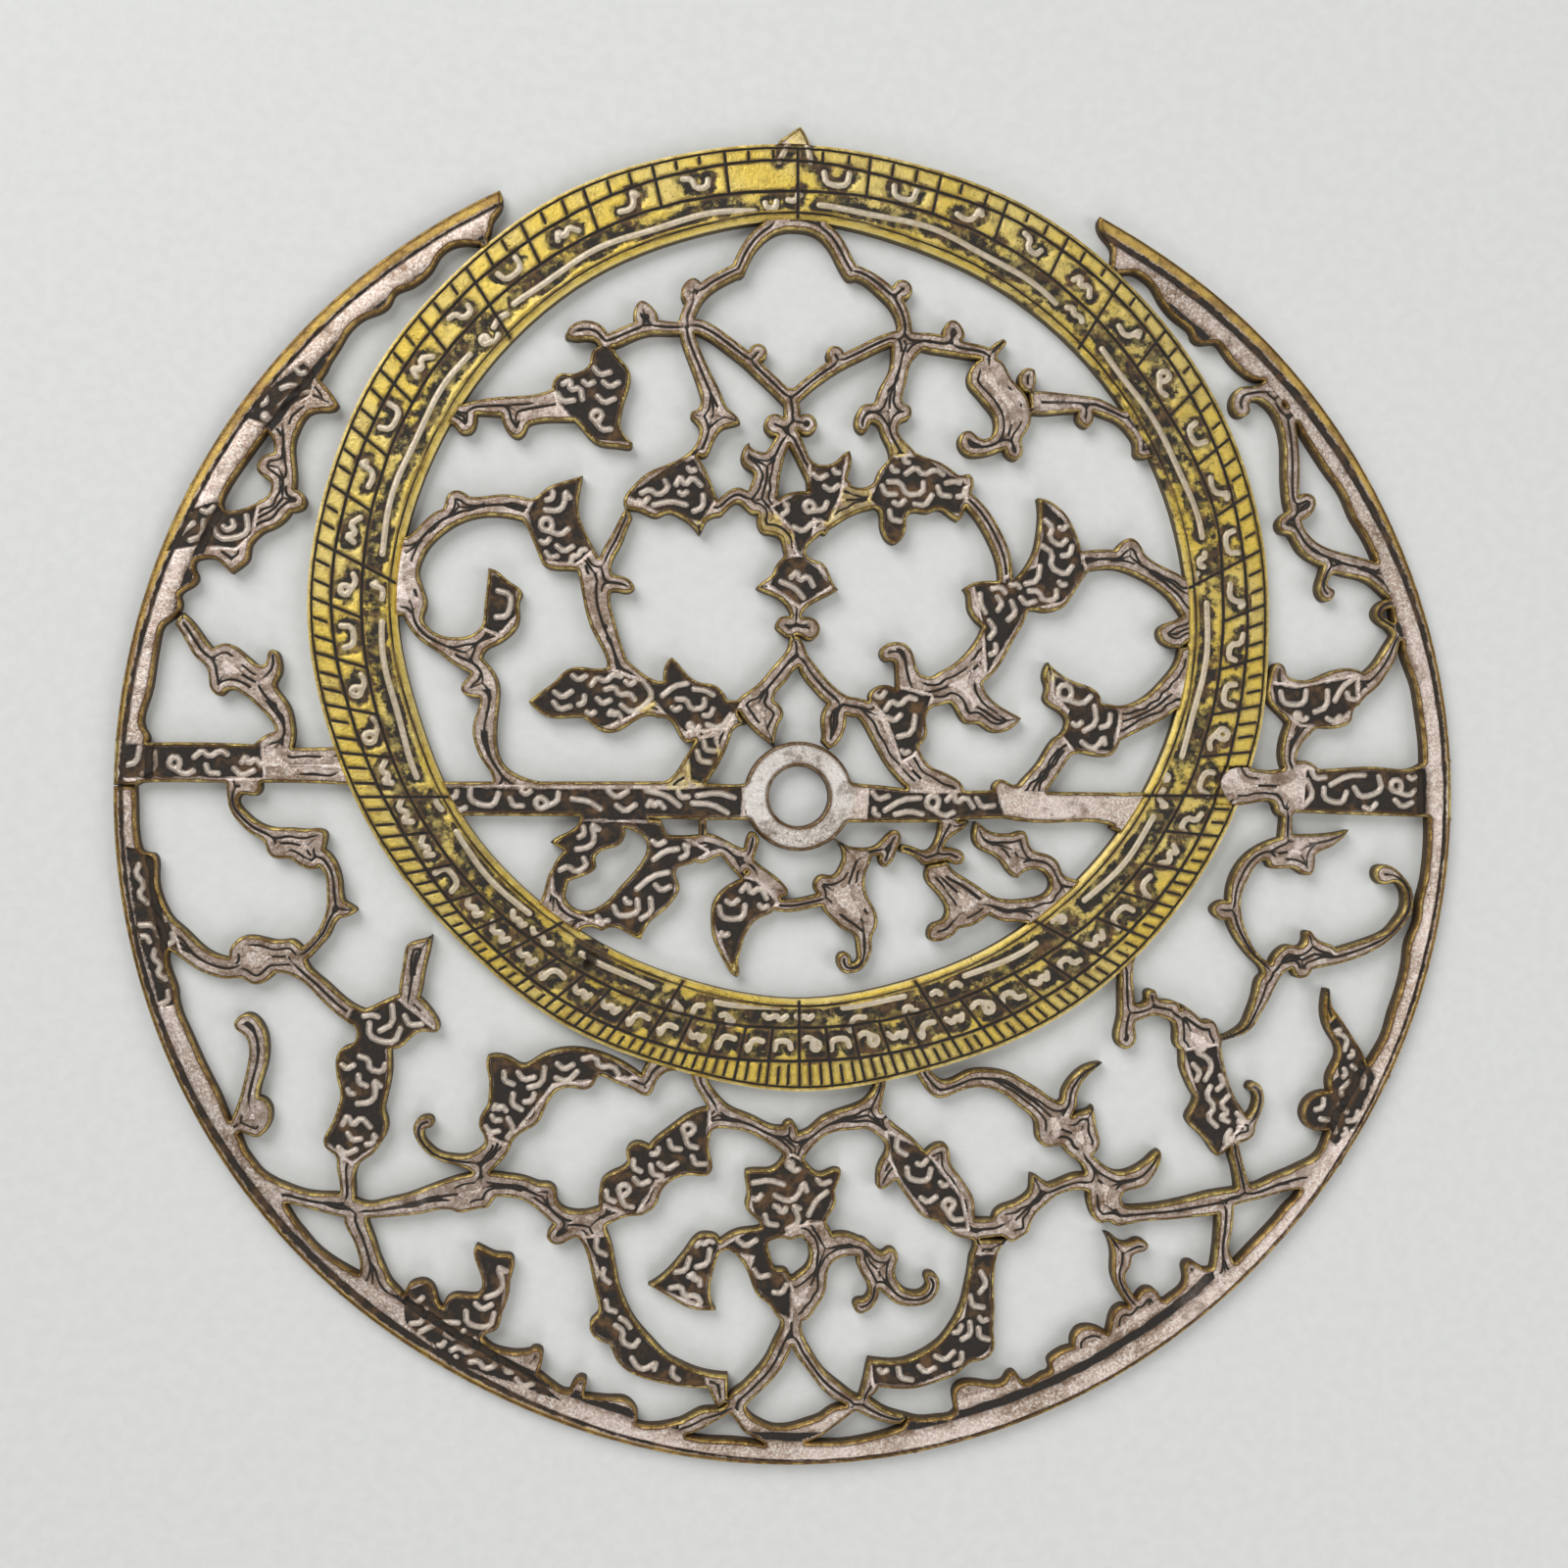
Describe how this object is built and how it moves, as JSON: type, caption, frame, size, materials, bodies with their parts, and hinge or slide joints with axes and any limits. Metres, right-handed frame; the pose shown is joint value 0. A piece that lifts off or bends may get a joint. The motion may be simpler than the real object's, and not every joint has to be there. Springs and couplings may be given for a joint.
{
  "type": "astrolabe rete",
  "caption": "Pierced brass star map of an astrolabe, with an offset ecliptic ring, star pointers, foliate scrolls and a central pivot hole.",
  "frame": {"origin": "centre of the pivot hole at the plate's back face", "axes": "+Z out of the decorated front face; +Y from the pivot to the index tooth at the top of the ecliptic ring; +X to the right as the front is read"},
  "size_m": [0.1369, 0.1367, 0.0018],
  "materials": {
    "bright_brass": "polished, engraved, dark in the cuts",
    "chased_brass": "worn silvery high parts over a dark ground",
    "rim_brass": "worn rounded band, brown grime in the groove",
    "hub_metal": "silvered, pitted and bright"
  },
  "bodies": {
    "root": {"clasp_plate": "chased_brass", "ecliptic_ring": "bright_brass", "hub_collar": "hub_metal", "index_tooth": "bright_brass", "bar_west_outer": "chased_brass", "bar_west_inner": "chased_brass", "bar_east_inner": "chased_brass", "bar_east_outer": "chased_brass", "rim_north_west": "rim_brass", "rim_west": "rim_brass", "rim_south_west": "rim_brass", "rim_foliage_south_west": "rim_brass", "rim_south": "rim_brass", "rim_foliage_south_east": "rim_brass", "rim_panel_south_east": "rim_brass", "rim_east_lower": "rim_brass", "rim_north_east": "rim_brass", "scroll_north_west": "chased_brass", "scroll_west": "chased_brass", "scroll_south_west": "chased_brass", "hook_south_west": "chased_brass", "pointer_south_west_rim": "chased_brass", "vine_low_west": "chased_brass", "pointer_dog": "chased_brass", "pointer_south_west_ring": "chased_brass", "link_ring_south": "chased_brass", "pointer_south": "chased_brass", "anchor_south": "chased_brass", "legs_south": "chased_brass", "pointer_long_south_west": "chased_brass", "pointer_long_south_east": "chased_brass", "pointer_south_east_ring": "chased_brass", "vine_ring_south_east": "chased_brass", "knot_south_east": "chased_brass", "vine_low_east": "chased_brass", "pointer_low_east": "chased_brass", "link_ring_low_east": "chased_brass", "scroll_east": "chased_brass", "hook_north_east": "chased_brass", "pointer_east_outer": "chased_brass", "apex_arch": "chased_brass", "crossing_stems": "chased_brass", "pointer_north_west": "chased_brass", "heart_field": "chased_brass", "pointer_north_east": "chased_brass", "bird_north_east": "chased_brass", "link_ring_north_east": "chased_brass", "crescent_east": "chased_brass", "link_ring_east": "chased_brass", "pointer_upper_west": "chased_brass", "scroll_inner_west": "chased_brass", "pointer_mid_west": "chased_brass", "pointer_hub_west": "chased_brass", "palmette_hub": "chased_brass", "pointer_hub_east": "chased_brass", "pointer_inner_east": "chased_brass", "vine_inner_south_east": "chased_brass", "stem_inner_south_east": "chased_brass", "pointer_inner_south_west": "chased_brass", "vine_hub_south": "chased_brass"}
  },
  "joints": []
}
